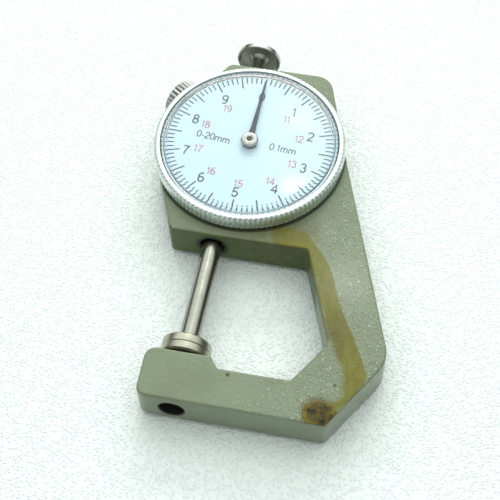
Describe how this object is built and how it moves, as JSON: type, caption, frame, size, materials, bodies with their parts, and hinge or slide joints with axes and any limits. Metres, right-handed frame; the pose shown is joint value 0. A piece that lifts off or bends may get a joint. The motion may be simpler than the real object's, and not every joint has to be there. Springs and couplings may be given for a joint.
{
  "type": "dial thickness gauge",
  "caption": "Hand-held dial thickness gauge: a C-frame with a sprung spindle, lift button, flat measuring discs, round dial with a turning bezel, and a bezel lock screw.",
  "frame": {"origin": "on the dial's axis, at the outer face of the back cover on which the gauge lies", "axes": "+Z out of the dial, +Y along the spindle from the anvil towards the lift button, +X towards the spine of the C-frame"},
  "size_m": [0.056, 0.0886, 0.0147],
  "materials": {
    "hammer_paint": "grey-green hammer finish, glossy",
    "cover_metal": "satin",
    "steel": "bright turned",
    "polished_steel": "ground and polished",
    "black_steel": "black oxide",
    "blued_steel": "blued",
    "brass": "satin",
    "nickel": "nickel plate",
    "resin": "amber-brown resin",
    "dial_print": "pale blue-white enamel with black and red print",
    "pointer_paint": "blue-black",
    "acrylic": "clear"
  },
  "bodies": {
    "gauge_body": {"frame_casting": "hammer_paint", "back_cover": "cover_metal", "back_cover_screws": "steel", "corner_seal": "resin", "lower_bush": "brass", "upper_bush": "brass", "anvil": "polished_steel", "anvil_screw": "black_steel", "movement_plate": "brass", "movement_plate_screws": "blued_steel", "lower_bridge": "brass", "bridge_pillars": "steel", "bridge_screws": "blued_steel", "guide_rail": "steel", "guide_rail_screws": "blued_steel", "spring_post": "steel", "hairspring_stud": "steel", "bezel_retaining_wire": "steel", "return_spring": "steel", "hairspring": "blued_steel"},
    "spindle_group": {"spindle": "polished_steel", "contact_disc": "polished_steel", "lift_button": "polished_steel", "guide_pin": "steel"},
    "pointer_group": {"center_arbor": "steel", "pointer": "pointer_paint", "pointer_hub": "nickel"},
    "takeup_group": {"takeup_arbor": "steel", "takeup_wheel": "brass", "hairspring_collet": "brass"},
    "bezel_group": {"bezel": "nickel", "dial_plate": "dial_print", "crystal": "acrylic"},
    "lock_screw_group": {"bezel_lock_screw": "nickel"}
  },
  "joints": [
    {"name": "spindle_slide", "type": "slide", "parent": "gauge_body", "child": "spindle_group", "axis": [0, 1, 0], "range_m": [0, 0.02], "stiffness_N_per_m": 60, "springref_m": -0.025, "deforming": ["return_spring"]},
    {"name": "pointer_spin", "type": "hinge", "parent": "gauge_body", "child": "pointer_group", "pos_m": [0, 0, 0.005], "axis": [0, 0, 1], "range_deg": [-720.1, 0]},
    {"name": "takeup_spin", "type": "hinge", "parent": "gauge_body", "child": "takeup_group", "pos_m": [0.00558, -0.00322, 0.006], "axis": [0, 0, 1], "range_deg": [0, 240], "deforming": ["hairspring"]},
    {"name": "bezel_turn", "type": "hinge", "parent": "gauge_body", "child": "bezel_group", "pos_m": [0, 0, 0.0105], "axis": [0, 0, 1], "continuous": true},
    {"name": "lock_screw_turn", "type": "hinge", "parent": "gauge_body", "child": "lock_screw_group", "pos_m": [-0.01618, 0.01317, 0.00495], "axis": [-0.848, 0.5299, 0], "range_deg": [-180, 720]}
  ],
  "couplings": [
    {"joint": "pointer_spin", "follows": "spindle_slide", "rad_per_m": -628.32},
    {"joint": "takeup_spin", "follows": "spindle_slide", "rad_per_m": 209.44}
  ]
}
